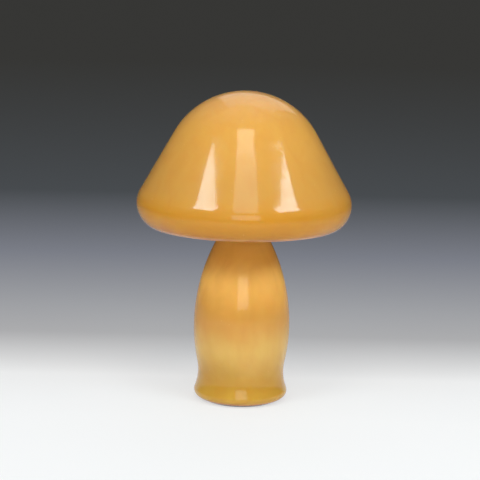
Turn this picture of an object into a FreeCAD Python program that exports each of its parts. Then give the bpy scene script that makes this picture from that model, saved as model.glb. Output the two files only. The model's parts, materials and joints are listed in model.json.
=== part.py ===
import FreeCAD, Part
import math
import os

# Mushroom table lamp: a blown bell shade resting on a three-armed carrier above a blown baluster body.
# Millimetres, +Z up. The origin is the centre of the felt's underside and -Y faces the viewer.

# Whole lamp
lamp_height = 360.0
felt_thickness = 1.5
felt_radius = 46.0
seat_gap = 0.3

# Shade
shade_radius = 124.0
shade_dome_radius = 94.0
shade_flank_tilt = 29.6
shade_roll_radius = 29.5
shade_lip_turn = 52.0
shade_wall = 4.0
dome_above_neck = 58.1

# Body
foot_radius = 57.5
foot_roll = 10.0
rest_ring_width = 7.0
kick_up = 9.5
kick_seat_radius = 19.0
kick_curve = 9.0
waist_radius = 49.0
waist_height = 34.0
belly_swell = 5.6
shoulder_curve = 220.0
neck_radius = 25.0
neck_curve = 14.0
neck_straight = 6.0
body_wall = 5.0

# Threaded rod, nuts and washers of the stem
rod_radius = 4.95
rod_bore = 3.8
thread_gap = 0.05
hole_gap = 0.25
nut_across_flats = 14.0
nut_thickness = 3.0
nut_chamfer = 0.8
washer_radius = 13.0
washer_thickness = 1.5
gasket_radius = 15.0
gasket_thickness = 1.5
rod_below_nut = 0.8
bush_wall = 1.4
bush_flange_radius = 11.0
bush_flange_thickness = 1.5

# Cap of the neck
cap_wall = 1.0
cap_skirt_gap = 0.6
cap_skirt_length = 9.0
cap_corner = 2.4
cap_bead = 1.1
neck_gasket_width = 3.2
neck_gasket_thickness = 1.5

# Shade carrier
arm_count = 3
first_arm_angle = 90.0
hub_radius = 24.0
hub_thickness = 1.5
arm_thickness = 1.6
arm_width = 11.0
arm_inner_end = 11.5
arm_root = 27.0
arm_rise_bend = 8.0
arm_tip_bend = 4.5
finger_below_dome = 4.0
finger_length = 15.0
rib_width = 3.2
rib_height = 1.0
sleeve_wall = 1.7
sleeve_overhang = 1.0
rivet_radius = 1.6
rivet_head_radius = 2.6
rivet_head_height = 1.2
rivet_pitch = 6.2
rivet_inset = 3.2

# Lampholder
lock_washer_radius = 8.2
lock_washer_thickness = 1.0
lock_washer_teeth = 8
nipple_radius = 8.0
nipple_height = 5.5
holder_radius = 20.0
holder_sheet = 0.8
holder_cap_height = 19.0
holder_dome_curve = 9.0
holder_cap_overlap = 3.2
shell_height = 38.0
shell_bead = 1.2
grub_radius = 1.5
grub_stand = 1.0
grub_slot = 0.6
liner_wall = 0.8
liner_gap = 0.3
block_height = 18.6
block_foot = 3.4
block_chamfer = 1.5
wire_way_radius = 3.0
wire_way_offset = 10.5
screw_shell_bore = 13.3
screw_shell_wall = 0.4
screw_shell_height = 23.0
tongue_thickness = 0.4
tongue_width = 5.0
tongue_rise = 2.2
tongue_foot = 6.4
tongue_tip = 3.0
tongue_rivet_radius = 0.9
tongue_rivet_head = 1.3
tongue_rivet_head_height = 0.7
terminal_radius = 1.6
terminal_head_radius = 2.5
terminal_head_height = 1.2
terminal_slot = 0.6
terminal_offset = 10.4

# Switch
shaft_radius = 1.75
running_gap = 0.05
shaft_above_block_foot = 11.6
shaft_pivot = 4.0
bushing_radius = 3.0
bushing_flange_radius = 4.6
bushing_flange_thickness = 1.2
bushing_reach = 3.0
rotor_radius = 4.3
rotor_length = 5.0
rotor_flat = 3.4
rotor_inset = 9.0
rotor_room = 0.5
knob_radius = 7.0
knob_length = 13.0
knob_skirt = 3.0
knob_flutes = 12
knob_flute_radius = 1.5
knob_edge = 1.2
knob_gap = 0.6
leaf_thickness = 0.4
leaf_width = 4.0
leaf_length = 12.0

# Bulb
bulb_length = 78.0
bulb_radius = 22.5
bulb_wall = 0.8
bulb_neck_radius = 11.6
bulb_neck_curve = 20.0
bulb_neck_inside = 10.0
screw_cap_radius = 12.7
screw_cap_wall = 0.3
screw_cap_length = 20.0
screw_cap_flare = 0.5
insulator_height = 3.2
insulator_tip_radius = 6.5
contact_radius = 3.4
contact_height = 1.8
contact_dome = 5.0
stem_flare_height = 7.0
stem_tube_radius = 3.2
stem_height = 20.0
stem_press_height = 7.0
stem_press_stand = 3.0
stem_press_thickness = 2.4
lead_radius = 0.45
lead_height = 11.0
lead_spread = 9.0
filament_radius = 0.5
filament_sag = 4.0

# Cord inlet
cord_hole_radius = 5.4
grommet_bore = 3.4
grommet_gap = 0.05
grommet_flange_radius = 8.0
grommet_flange_thickness = 1.6

ORIGIN = FreeCAD.Vector(0, 0, 0)
UP = FreeCAD.Vector(0, 0, 1)
FRONT = FreeCAD.Vector(0, -1, 0)
BACK = FreeCAD.Vector(0, 1, 0)
SAME_PLACE = 1e-6
REACH = 400.0


# Outlines in the X-Z plane, where x is the distance from the axis

def point(r, z):
    return FreeCAD.Vector(r, 0, z)


def along(centre, radius, angle):
    turn = math.radians(angle)
    return centre + point(radius * math.cos(turn), radius * math.sin(turn))


def direction_angle(start, end):
    return math.degrees(math.atan2(end.z - start.z, end.x - start.x))


def arc(centre, radius, start, end):
    """Three points on a circle, from one angle to another, counted from outwards towards up."""
    return [along(centre, radius, angle) for angle in (start, (start + end) / 2, end)]


def corner(r, z):
    return [point(r, z)]


def rounded(before, middle, after, radius):
    """The arc that rounds the corner at the middle point."""
    leave = (before - middle).normalize()
    go_on = (after - middle).normalize()
    half_angle = leave.getAngle(go_on) / 2
    bisector = (leave + go_on).normalize()
    centre = middle + bisector * (radius / math.sin(half_angle))
    reach = radius / math.tan(half_angle)
    return [middle + leave * reach, centre - bisector * radius, middle + go_on * reach]


def bent_line(corners):
    """Points and arcs through (r, z, radius) corners, where a radius of 0 keeps the corner sharp."""
    places = [point(r, z) for r, z, radius in corners]
    pieces = [[places[0]]]
    for index in range(1, len(corners) - 1):
        radius = corners[index][2]
        if radius > 0:
            pieces.append(rounded(places[index - 1], places[index], places[index + 1], radius))
        else:
            pieces.append([places[index]])
    pieces.append([places[-1]])
    return pieces


def backwards(pieces):
    return [list(reversed(piece)) for piece in reversed(pieces)]


def outline(pieces):
    """A closed face: arcs and points joined by straight lines."""
    edges = []
    for piece, following in zip(pieces, pieces[1:] + pieces[:1]):
        if len(piece) == 3:
            edges.append(Part.Arc(*piece).toShape())
        if piece[-1].distanceToPoint(following[0]) > SAME_PLACE:
            edges.append(Part.LineSegment(piece[-1], following[0]).toShape())
    return Part.Face(Part.Wire(edges))


def turned(pieces):
    return outline(pieces).revolve(ORIGIN, UP, 360)


def ring(inner, outer, bottom, top):
    return turned([corner(inner, bottom), corner(outer, bottom), corner(outer, top), corner(inner, top)])


def rod_along_y(radius, y_from, y_to, z):
    """A round bar along Y between two places, whichever comes first."""
    start = FreeCAD.Vector(0, min(y_from, y_to), z)
    return Part.makeCylinder(radius, abs(y_to - y_from), start, BACK)


def facing_front(shape, z):
    """Lays a shape turned about +Z along -Y, with its origin at the axis and the height z."""
    shape.rotate(ORIGIN, FreeCAD.Vector(1, 0, 0), 90)
    shape.translate(FreeCAD.Vector(0, 0, z))
    return shape


def placed_round(shape, angle):
    copy = shape.copy()
    copy.rotate(ORIGIN, UP, angle)
    return copy


def arm_angles():
    return [first_arm_angle + index * 360.0 / arm_count for index in range(arm_count)]


# Glass shade

flank = shade_flank_tilt
flank_turn = math.radians(flank)
dome_centre = point(0, lamp_height - shade_dome_radius)
roll_centre_r = shade_radius - shade_roll_radius
roll_centre_z = (
    shade_dome_radius - shade_roll_radius
    + dome_centre.z * math.sin(flank_turn)
    - roll_centre_r * math.cos(flank_turn)
) / math.sin(flank_turn)
roll_centre = point(roll_centre_r, roll_centre_z)


def shade_line(inset):
    """Dome and rolled rim, at a depth below the outer skin. The straight flank joins the two."""
    return [
        arc(dome_centre, shade_dome_radius - inset, 90, flank),
        arc(roll_centre, shade_roll_radius - inset, flank, -shade_lip_turn),
    ]


def shade_flank_radius(z, inset):
    """Distance from the axis to the straight flank at a height."""
    start = along(dome_centre, shade_dome_radius - inset, flank)
    return start.x + (start.z - z) * math.tan(flank_turn)


def shade_glass():
    middle_of_lip = along(roll_centre, shade_roll_radius - shade_wall / 2, -shade_lip_turn)
    lip = arc(middle_of_lip, shade_wall / 2, -shade_lip_turn, -shade_lip_turn - 180)
    return turned(shade_line(0) + [lip] + backwards(shade_line(shade_wall)))


def shade_hollow(gap):
    """The room inside the shade, smaller all over by a gap."""
    inset = shade_wall + gap
    lip_end = along(roll_centre, shade_roll_radius - inset, -shade_lip_turn)
    return turned(shade_line(inset) + [corner(lip_end.x, lip_end.z), corner(0, lip_end.z)])


# Glass body

foot_bottom = felt_thickness
foot_centre = point(foot_radius - foot_roll, foot_bottom + foot_roll)
belly_radius = waist_radius + belly_swell
waist_step = foot_radius - waist_radius
waist_rise = waist_height - foot_centre.z
waist_curve = (waist_step ** 2 + waist_rise ** 2) / (2 * waist_step) - foot_roll
waist_centre = point(waist_radius + waist_curve, waist_height)
neck_top = dome_centre.z - dome_above_neck
neck_offset = neck_radius + neck_curve + shoulder_curve - belly_radius
neck_rise = math.sqrt((shoulder_curve + neck_curve) ** 2 - neck_offset ** 2)
belly_height = neck_top - neck_straight - neck_rise
belly_rise = belly_height - waist_height
belly_curve = (belly_swell ** 2 + belly_rise ** 2) / (2 * belly_swell) - waist_curve
belly_centre = point(belly_radius - belly_curve, belly_height)
shoulder_centre = point(belly_radius - shoulder_curve, belly_height)
neck_centre = point(neck_radius + neck_curve, belly_height + neck_rise)
kick_seat = foot_bottom + kick_up
floor_seat = kick_seat + body_wall
rod_hole_radius = rod_radius + thread_gap + bush_wall


def body_line(inset):
    """Foot roll, waist, belly, shoulder and neck, at a depth below the outer skin."""
    to_waist = direction_angle(foot_centre, waist_centre)
    to_belly = direction_angle(waist_centre, belly_centre)
    to_neck = direction_angle(shoulder_centre, neck_centre)
    return [
        arc(foot_centre, foot_roll - inset, -90, to_waist),
        arc(waist_centre, waist_curve + inset, to_waist + 180, to_belly),
        arc(belly_centre, belly_curve - inset, to_belly - 180, 0),
        arc(shoulder_centre, shoulder_curve - inset, 0, to_neck),
        arc(neck_centre, neck_curve + inset, to_neck + 180, 180),
    ]


def underside_line(lift):
    """The resting ring and the kick-up, from the foot roll in to the rod's hole."""
    ring_inner = foot_centre.x - rest_ring_width
    corners = [
        (foot_centre.x, foot_bottom + lift, 0),
        (ring_inner, foot_bottom + lift, kick_curve),
        (kick_seat_radius, kick_seat + lift, kick_curve),
        (rod_hole_radius, kick_seat + lift, 0),
    ]
    return bent_line(corners)


def body_glass():
    middle_of_rim = point(neck_radius - body_wall / 2, neck_top - body_wall / 2)
    rim = arc(middle_of_rim, body_wall / 2, 0, 180)
    outside = body_line(0) + [rim] + backwards(body_line(body_wall))
    inside = underside_line(body_wall) + backwards(underside_line(0))
    glass = turned(outside + inside)
    return glass.cut(rod_along_y(cord_hole_radius, 0, REACH, waist_height))


def body_filled(inset):
    """The body as one full shape, to fit what lies against its skin."""
    pieces = body_line(inset) + [corner(neck_radius - inset, neck_top)]
    return turned(pieces + [corner(0, neck_top), corner(0, foot_bottom + inset)])


def felt_pad():
    return ring(0, felt_radius, 0, felt_thickness)


# Cord inlet at the back of the waist

def cord_grommet():
    """A flexible grommet whose two flanges follow the glass."""
    lip_out = waist_radius + grommet_flange_thickness
    lip_in = waist_radius - body_wall - grommet_flange_thickness
    sleeve = rod_along_y(cord_hole_radius - grommet_gap, lip_in, lip_out, waist_height)
    outer = rod_along_y(grommet_flange_radius, waist_radius - body_wall / 2, lip_out, waist_height)
    outer = outer.makeFillet(grommet_flange_thickness / 2, flange_rim(outer, lip_out))
    outer = outer.cut(body_filled(0))
    inner = rod_along_y(grommet_flange_radius, lip_in, waist_radius - body_wall / 2, waist_height)
    inner = inner.common(body_filled(body_wall))
    whole = sleeve.fuse([outer, inner]).removeSplitter()
    return whole.cut(rod_along_y(grommet_bore, 0, REACH, waist_height))


def flange_rim(flange, y):
    return [edge for edge in flange.Edges if abs(edge.CenterOfMass.y - y) < SAME_PLACE and edge.Closed]


# Stem: rod, bush, gaskets, washers and nuts

base_gasket_bottom = kick_seat - gasket_thickness
base_washer_bottom = base_gasket_bottom - washer_thickness
base_nut_bottom = base_washer_bottom - nut_thickness
rod_bottom = base_nut_bottom - rod_below_nut
cap_underside = neck_top + neck_gasket_thickness
hub_bottom = cap_underside + cap_wall
hub_top = hub_bottom + hub_thickness
neck_nut_top = hub_top + nut_thickness
holder_bottom = neck_nut_top + lock_washer_thickness
rod_top = holder_bottom + nipple_height
rod_clear = rod_radius + hole_gap


def threaded_rod():
    return ring(rod_bore, rod_radius, rod_bottom, rod_top)


def hex_nut(bottom):
    """A thin hexagon nut with both faces chamfered."""
    across_corners = nut_across_flats / math.cos(math.radians(30))
    corners = [along(ORIGIN, across_corners / 2, 60 * step) for step in range(6)]
    corners = [FreeCAD.Vector(place.x, place.z, bottom) for place in corners]
    prism = Part.Face(Part.makePolygon(corners + corners[:1])).extrude(UP * nut_thickness)
    flat = nut_across_flats / 2
    wide = flat + nut_chamfer * 2
    top = bottom + nut_thickness
    limits = turned([
        corner(rod_radius + thread_gap, bottom),
        corner(flat, bottom),
        corner(wide, bottom + nut_chamfer),
        corner(wide, top - nut_chamfer),
        corner(flat, top),
        corner(rod_radius + thread_gap, top),
    ])
    return prism.common(limits)


def rod_bush():
    """A shouldered bush that centres the rod in the hole of the glass, from inside."""
    inner = rod_radius + thread_gap
    outer = rod_hole_radius - thread_gap
    return turned([
        corner(inner, kick_seat),
        corner(outer, kick_seat),
        corner(outer, floor_seat),
        corner(bush_flange_radius, floor_seat),
        corner(bush_flange_radius, floor_seat + bush_flange_thickness),
        corner(inner, floor_seat + bush_flange_thickness),
    ])


def base_gasket():
    return ring(rod_clear, gasket_radius, base_gasket_bottom, kick_seat)


def base_washer():
    return ring(rod_clear, washer_radius, base_washer_bottom, base_gasket_bottom)


def neck_gasket():
    middle = neck_radius - body_wall / 2
    half = neck_gasket_width / 2
    return ring(middle - half, middle + half, neck_top, cap_underside)


def vase_cap():
    """A spun cap with a rounded shoulder, a skirt round the neck and a beaded edge."""
    inner = neck_radius + cap_skirt_gap
    outer = inner + cap_wall
    edge = hub_bottom - cap_skirt_length
    bead = arc(point(inner + cap_bead, edge), cap_bead, 60, -180)
    top_line = bent_line([
        (rod_clear, hub_bottom, 0), (outer, hub_bottom, cap_corner), (outer, edge + cap_bead, 0),
    ])
    under_line = bent_line([
        (inner, edge, 0), (inner, cap_underside, cap_corner - cap_wall), (rod_clear, cap_underside, 0),
    ])
    return turned(top_line + [bead] + under_line[1:])


# Shade carrier: hub, three formed arms with rubber sleeves, and their rivets

arm_bottom = hub_top
finger_depth = sleeve_wall + arm_thickness / 2 + seat_gap
finger_foot_height = dome_centre.z - finger_below_dome
finger_foot = point(
    shade_flank_radius(finger_foot_height, shade_wall) - finger_depth / math.cos(flank_turn),
    finger_foot_height,
)
finger_tip = along(finger_foot, finger_length, 90 + flank)


def carrier_hub():
    return ring(rod_clear, hub_radius, hub_bottom, hub_top)


def strip_line(side):
    """The bent strip's one face, seen from its edge: 1 is the lower and outer face, -1 the upper."""
    half = side * arm_thickness / 2
    middle = arm_bottom + arm_thickness / 2
    rise = direction_angle(point(arm_root, middle), finger_foot)
    finger = direction_angle(finger_foot, finger_tip)
    root_turn = math.radians(rise) / 2
    foot_turn = math.radians(finger - rise) / 2
    root = along(point(arm_root, middle), half / math.cos(root_turn), rise / 2 - 90)
    foot = along(finger_foot, half / math.cos(foot_turn), (rise + finger) / 2 - 90)
    tip = along(finger_tip, half, finger - 90)
    return bent_line([
        (arm_inner_end, middle - half, 0),
        (root.x, root.z, arm_rise_bend - half),
        (foot.x, foot.z, arm_tip_bend + half),
        (tip.x, tip.z, 0),
    ])


def straight_prism(pieces, width):
    """An outline made a slab that lies evenly on both sides of the X-Z plane."""
    face = outline(pieces)
    face.translate(FreeCAD.Vector(0, -width / 2, 0))
    return face.extrude(FreeCAD.Vector(0, width, 0))


def arm_blank():
    """One arm along +X, with its ends rounded and a stiffening rib pressed along the rise."""
    strip = straight_prism(strip_line(1) + backwards(strip_line(-1)), arm_width)
    middle = arm_bottom + arm_thickness / 2
    root = point(arm_root, middle)
    rise = direction_angle(root, finger_foot)
    rib_length = root.distanceToPoint(finger_foot) - arm_rise_bend - arm_tip_bend * 2
    rib_start = along(root, arm_rise_bend, rise)
    rib_axis = along(ORIGIN, 1, rise)
    bar = Part.makeCylinder(rib_width / 2, rib_length, rib_start, rib_axis)
    start_ball = Part.makeSphere(rib_width / 2, rib_start)
    end_ball = Part.makeSphere(rib_width / 2, rib_start + rib_axis * rib_length)
    rib = bar.fuse([start_ball, end_ball])
    rib.translate(along(ORIGIN, arm_thickness / 2 + rib_height - rib_width / 2, rise + 90))
    return strip.fuse(rib)


def round_corners(strip, radius):
    """Rounds the two upright corners at the inner end."""
    at_end = [edge for edge in strip.Edges if abs(edge.CenterOfMass.x - arm_inner_end) < SAME_PLACE]
    upright = [edge for edge in at_end if abs(abs(edge.CenterOfMass.y) - arm_width / 2) < SAME_PLACE]
    return strip.makeFillet(radius, upright)


def rivet_places():
    first = arm_inner_end + rivet_inset
    return [first, first + rivet_pitch]


def carrier_arm():
    arm = round_corners(arm_blank(), arm_width / 3)
    for r in rivet_places():
        hole = Part.makeCylinder(rivet_radius, arm_thickness * 3, point(r, arm_bottom - arm_thickness))
        arm = arm.cut(hole)
    return arm


def carrier_hub_drilled():
    hub = carrier_hub()
    for angle in arm_angles():
        for r in rivet_places():
            hole = Part.makeCylinder(rivet_radius, hub_thickness, point(r, hub_bottom))
            hub = hub.cut(placed_round(hole, angle))
    return hub


def rivets():
    """Six domed rivets, flush beneath the hub."""
    top = arm_bottom + arm_thickness
    shank = rivet_radius - thread_gap
    dome_radius = (rivet_head_radius ** 2 + rivet_head_height ** 2) / (2 * rivet_head_height)
    dome_centre_z = top + rivet_head_height - dome_radius
    start = math.degrees(math.asin((top - dome_centre_z) / dome_radius))
    head = arc(point(0, dome_centre_z), dome_radius, start, 90)
    one = turned([corner(0, hub_bottom), corner(shank, hub_bottom), corner(shank, top), head])
    group = []
    for angle in arm_angles():
        for r in rivet_places():
            rivet = one.copy()
            rivet.translate(FreeCAD.Vector(r, 0, 0))
            group.append(placed_round(rivet, angle))
    return Part.Compound(group)


def arm_sleeve():
    """A soft sleeve pushed over the finger, whose back follows the inside of the shade."""
    finger = direction_angle(finger_foot, finger_tip)
    bottom = along(finger_foot, arm_tip_bend + sleeve_wall, finger)
    top = along(finger_tip, sleeve_overhang, finger)
    deep = arm_thickness / 2 + sleeve_wall + seat_gap
    shallow = arm_thickness / 2 + sleeve_wall
    pieces = [
        [along(bottom, deep, finger - 90)],
        [along(top, deep, finger - 90)],
        [along(top, shallow, finger + 90)],
        [along(bottom, shallow, finger + 90)],
    ]
    block = straight_prism(pieces, arm_width + 2 * sleeve_wall)
    block = block.common(shade_hollow(seat_gap))
    room = straight_prism(
        [
            [along(bottom, arm_thickness / 2, finger - 90)],
            [along(finger_tip, arm_thickness / 2, finger - 90)],
            [along(finger_tip, arm_thickness / 2, finger + 90)],
            [along(bottom, arm_thickness / 2, finger + 90)],
        ],
        arm_width,
    )
    return block.cut(room)


# Lampholder

shell_bottom = holder_bottom + holder_cap_height - holder_cap_overlap
shell_radius = holder_radius - holder_sheet - thread_gap
shell_top = shell_bottom + shell_height
liner_outer = shell_radius - holder_sheet - liner_gap
liner_inner = liner_outer - liner_wall
block_radius = liner_inner - liner_gap
block_bottom = shell_bottom - block_foot
block_top = block_bottom + block_height
shaft_height = block_bottom + shaft_above_block_foot
screw_shell_top = block_top + screw_shell_height
screw_shell_outer = screw_shell_bore + screw_shell_wall
bulb_bottom = block_top + tongue_rise + seat_gap


def lock_washer():
    """A toothed washer: a flat ring with notches cut in its rim."""
    washer = ring(rod_clear, lock_washer_radius, neck_nut_top, holder_bottom)
    for index in range(lock_washer_teeth):
        notch = Part.makeBox(2.0, 1.2, 4.0, FreeCAD.Vector(lock_washer_radius - 1.2, -0.6, neck_nut_top - 1))
        washer = washer.cut(placed_round(notch, index * 360.0 / lock_washer_teeth))
    return washer


def holder_cap():
    """The spun dome of the holder with its threaded nipple."""
    inner = rod_radius + thread_gap
    dome_foot = holder_bottom + nipple_height
    top = holder_bottom + holder_cap_height
    outside = bent_line([
        (nipple_radius, holder_bottom, 0),
        (nipple_radius, dome_foot - holder_sheet, 1.5),
        (holder_radius, dome_foot + 1.5, holder_dome_curve),
        (holder_radius, top, 0),
    ])
    inside = bent_line([
        (holder_radius - holder_sheet, top, 0),
        (holder_radius - holder_sheet, dome_foot + 1.5 + holder_sheet, holder_dome_curve - holder_sheet),
        (inner, dome_foot + 0.2, 0),
    ])
    cap = turned([corner(inner, holder_bottom)] + outside + inside)
    grub_hole = rod_along_y(grub_radius, 0, nipple_radius + 1, holder_bottom + nipple_height / 2)
    return cap.cut(grub_hole)


def grub_screw():
    """The slotted screw that locks the holder on the rod."""
    z = holder_bottom + nipple_height / 2
    start = rod_radius + thread_gap
    end = nipple_radius + grub_stand
    screw = rod_along_y(grub_radius - thread_gap, start, end, z)
    slot_place = FreeCAD.Vector(-grub_radius, end - grub_slot, z - grub_slot / 2)
    return screw.cut(Part.makeBox(grub_radius * 2, grub_slot, grub_slot, slot_place))


def holder_shell():
    """The upper shell, with a rolled mouth and the hole for the switch bushing."""
    inner = shell_radius - holder_sheet
    bead_start = -math.degrees(math.acos((holder_sheet - shell_bead) / shell_bead))
    bead = arc(point(inner + shell_bead, shell_top - shell_bead), shell_bead, bead_start, 180)
    shell = turned([corner(inner, shell_bottom), corner(shell_radius, shell_bottom), bead])
    return shell.cut(rod_along_y(bushing_radius + thread_gap, -REACH, 0, shaft_height))


def holder_liner():
    """The insulating tube between the shell and the live parts."""
    tube = ring(liner_inner, liner_outer, shell_bottom, shell_top - shell_bead * 2)
    return tube.cut(rod_along_y(bushing_radius + thread_gap, -REACH, 0, shaft_height))


def terminal_places():
    return [FreeCAD.Vector(side * terminal_offset, 0, block_bottom) for side in (-1, 1)]


def holder_block():
    """The ceramic block: the cam's chamber, the shaft's pivot, the leaf's slot and the wire ways."""
    block = Part.makeCylinder(block_radius, block_height, point(0, block_bottom))
    block = block.makeChamfer(block_chamfer, [edge for edge in block.Edges if edge.Closed and on_rim(edge)])
    chamber = rod_along_y(rotor_radius + rotor_room, -REACH, rotor_back + rotor_room, shaft_height)
    pivot = rod_along_y(shaft_radius + running_gap, rotor_back, shaft_back + seat_gap, shaft_height)
    slot = Part.makeBox(
        leaf_length + 2 * seat_gap,
        leaf_width + 2 * seat_gap,
        leaf_thickness + 2 * seat_gap + rotor_radius,
        FreeCAD.Vector(-leaf_length / 2 - seat_gap, leaf_middle - leaf_width / 2 - seat_gap, shaft_height),
    )
    block = block.cut([chamber, pivot, slot])
    for place in terminal_places():
        block = block.cut(Part.makeCylinder(terminal_radius, block_height, place))
    wire_way = FreeCAD.Vector(0, wire_way_offset, block_bottom)
    return block.cut(Part.makeCylinder(wire_way_radius, block_height, wire_way))


def on_rim(edge):
    return abs(edge.Curve.Radius - block_radius) < SAME_PLACE


def screw_shell():
    """The female screw shell with its inturned floor ring. Its thread is a finish."""
    floor_hole = contact_radius + 3.8
    shell = turned([
        corner(floor_hole, block_top),
        corner(screw_shell_outer, block_top),
        corner(screw_shell_outer, screw_shell_top),
        corner(screw_shell_bore, screw_shell_top),
        corner(screw_shell_bore, block_top + screw_shell_wall),
        corner(floor_hole, block_top + screw_shell_wall),
    ])
    for place in terminal_places():
        shell = shell.cut(Part.makeCylinder(terminal_radius, REACH / 2, place))
    return shell


def centre_contact():
    """The sprung tongue under the bulb: a riveted foot, a rise and a flat tip."""
    low = block_top
    high = block_top + tongue_rise
    step = tongue_thickness / 2
    rise_start = -(contact_radius - 0.6)
    rise_end = rise_start + tongue_rise / 2
    upper = bent_line([
        (-tongue_foot, low + tongue_thickness, 0), (rise_start - step, low + tongue_thickness, 0.4),
        (rise_end - step, high, 0.6), (tongue_tip, high, 0),
    ])
    lower = bent_line([
        (-tongue_foot, low, 0), (rise_start + step, low, 0.6),
        (rise_end + step, high - tongue_thickness, 0.4), (tongue_tip, high - tongue_thickness, 0),
    ])
    tongue = straight_prism(upper + backwards(lower), tongue_width)
    return tongue.cut(Part.makeCylinder(tongue_rivet_radius, block_height, tongue_rivet_place()))


def tongue_rivet_place():
    return point(-(tongue_foot - tongue_rivet_head - 0.2), block_top)


def contact_rivet():
    """The small rivet that holds the tongue's foot down on the block."""
    height = tongue_rivet_head_height
    head_curve = (tongue_rivet_head ** 2 + height ** 2) / (2 * height)
    head_centre = point(0, tongue_thickness + height - head_curve)
    rim_angle = direction_angle(head_centre, point(tongue_rivet_head, tongue_thickness))
    rivet = turned([
        corner(0, 0),
        corner(tongue_rivet_radius - thread_gap, 0),
        corner(tongue_rivet_radius - thread_gap, tongue_thickness),
        arc(head_centre, head_curve, rim_angle, 90),
    ])
    rivet.translate(tongue_rivet_place())
    return rivet


def terminal_screws():
    """Two slotted screws that hold the screw shell's floor on the block."""
    head_bottom = block_top + screw_shell_wall
    group = []
    for place in terminal_places():
        shank_length = head_bottom - block_bottom
        shank = Part.makeCylinder(terminal_radius - thread_gap, shank_length, place)
        head = Part.makeCylinder(terminal_head_radius, terminal_head_height, place + UP * shank_length)
        slot = Part.makeBox(
            terminal_head_radius * 2, terminal_slot, terminal_head_height,
            place + FreeCAD.Vector(-terminal_head_radius, -terminal_slot / 2, shank_length + terminal_slot),
        )
        group.append(shank.fuse(head).removeSplitter().cut(slot))
    return Part.Compound(group)


# Switch

bushing_outer_face = -(shell_radius + bushing_flange_thickness)
knob_back = bushing_outer_face - knob_gap
rotor_front = -rotor_inset
rotor_back = rotor_front + rotor_length
shaft_back = rotor_back + shaft_pivot
leaf_middle = rotor_front + rotor_length / 2
shaft_front = knob_back - knob_length + 3.0


def shaft_bushing():
    """The flanged tube that carries the shaft in the shell's wall."""
    inner_end = -(liner_outer - bushing_reach)
    tube = rod_along_y(bushing_radius, inner_end, -shell_radius, shaft_height)
    flange = rod_along_y(bushing_flange_radius, -shell_radius, bushing_outer_face, shaft_height)
    flange = flange.fuse(rod_along_y(bushing_flange_radius, -shell_radius, -shell_radius + 1.0, shaft_height))
    flange = flange.cut(Part.makeCylinder(shell_radius, shell_height, point(0, shell_bottom)))
    bushing = tube.fuse(flange).removeSplitter()
    return bushing.cut(rod_along_y(shaft_radius + running_gap, -REACH, 0, shaft_height))


def switch_shaft():
    """The turning shaft, with a flat where the knob is pushed on."""
    shaft = rod_along_y(shaft_radius, shaft_front, shaft_back, shaft_height)
    flat = Part.makeBox(
        shaft_radius * 2, 8.0, shaft_radius,
        FreeCAD.Vector(-shaft_radius, shaft_front - 0.1, shaft_height + shaft_radius * 0.6),
    )
    return shaft.cut(flat)


def switch_rotor():
    """The four-sided insulating cam, rounded at its corners."""
    rotor = rod_along_y(rotor_radius, rotor_front, rotor_back, shaft_height)
    side = 2 * rotor_flat
    square = Part.makeBox(
        side, rotor_length, side, FreeCAD.Vector(-rotor_flat, rotor_front, shaft_height - rotor_flat)
    )
    rotor = rotor.common(square)
    return rotor.cut(rod_along_y(shaft_radius, rotor_front, rotor_back, shaft_height))


def switch_leaf():
    """The leaf spring that lies over the cam's corners."""
    bottom = shaft_height + rotor_radius + seat_gap
    corner_place = FreeCAD.Vector(-leaf_length / 2, leaf_middle - leaf_width / 2, bottom)
    return Part.makeBox(leaf_length, leaf_width, leaf_thickness, corner_place)


def switch_knob():
    """The moulded knob: a skirt, a fluted grip and a rounded face."""
    grip = knob_radius - 0.8
    body = turned([
        corner(0, 0),
        corner(knob_radius, 0),
        corner(knob_radius, knob_skirt),
        corner(grip, knob_skirt + 1.0),
        arc(point(grip - 0.4 - knob_edge, knob_length - knob_edge), knob_edge, 0, 90),
        corner(0, knob_length),
    ])
    for index in range(knob_flutes):
        flute = Part.makeCylinder(knob_flute_radius, knob_length, point(grip + 0.75, knob_skirt + 1.0))
        body = body.cut(placed_round(flute, index * 360.0 / knob_flutes))
    body.translate(FreeCAD.Vector(0, 0, -knob_back))
    body = facing_front(body, shaft_height)
    return body.cut(switch_shaft())


# Bulb

cap_bottom = bulb_bottom + insulator_height
cap_top = bulb_bottom + screw_cap_length + insulator_height
bulb_top = bulb_bottom + bulb_length
bulb_centre = point(0, bulb_top - bulb_radius)
neck_join = math.sqrt(
    (bulb_radius + bulb_neck_curve) ** 2 - (bulb_neck_radius + bulb_neck_curve) ** 2
)
bulb_neck_centre = point(bulb_neck_radius + bulb_neck_curve, bulb_centre.z - neck_join)
neck_bottom = cap_top - bulb_neck_inside
lead_start_height = neck_bottom + stem_height + stem_press_stand


def bulb_line(inset):
    """Globe and neck, at a depth below the outer skin."""
    to_neck = direction_angle(bulb_centre, bulb_neck_centre)
    return [
        arc(bulb_centre, bulb_radius - inset, 90, to_neck),
        arc(bulb_neck_centre, bulb_neck_curve + inset, to_neck + 180, 180),
        corner(bulb_neck_radius - inset, neck_bottom),
    ]


def bulb_envelope():
    return turned(bulb_line(0) + backwards(bulb_line(bulb_wall)))


def bulb_screw_cap():
    """The cap's thin shell, flared at its mouth and inturned at its foot. Its thread is a finish."""
    inner = screw_cap_radius - screw_cap_wall
    return turned([
        corner(insulator_tip_radius + 4.0, cap_bottom),
        corner(screw_cap_radius, cap_bottom + 2.0),
        corner(screw_cap_radius, cap_top - 1.5),
        corner(screw_cap_radius + screw_cap_flare, cap_top),
        corner(inner + screw_cap_flare, cap_top),
        corner(inner, cap_top - 1.5),
        corner(inner, cap_bottom + 2.0 + screw_cap_wall),
        corner(insulator_tip_radius + 4.0, cap_bottom + screw_cap_wall),
    ])


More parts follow.
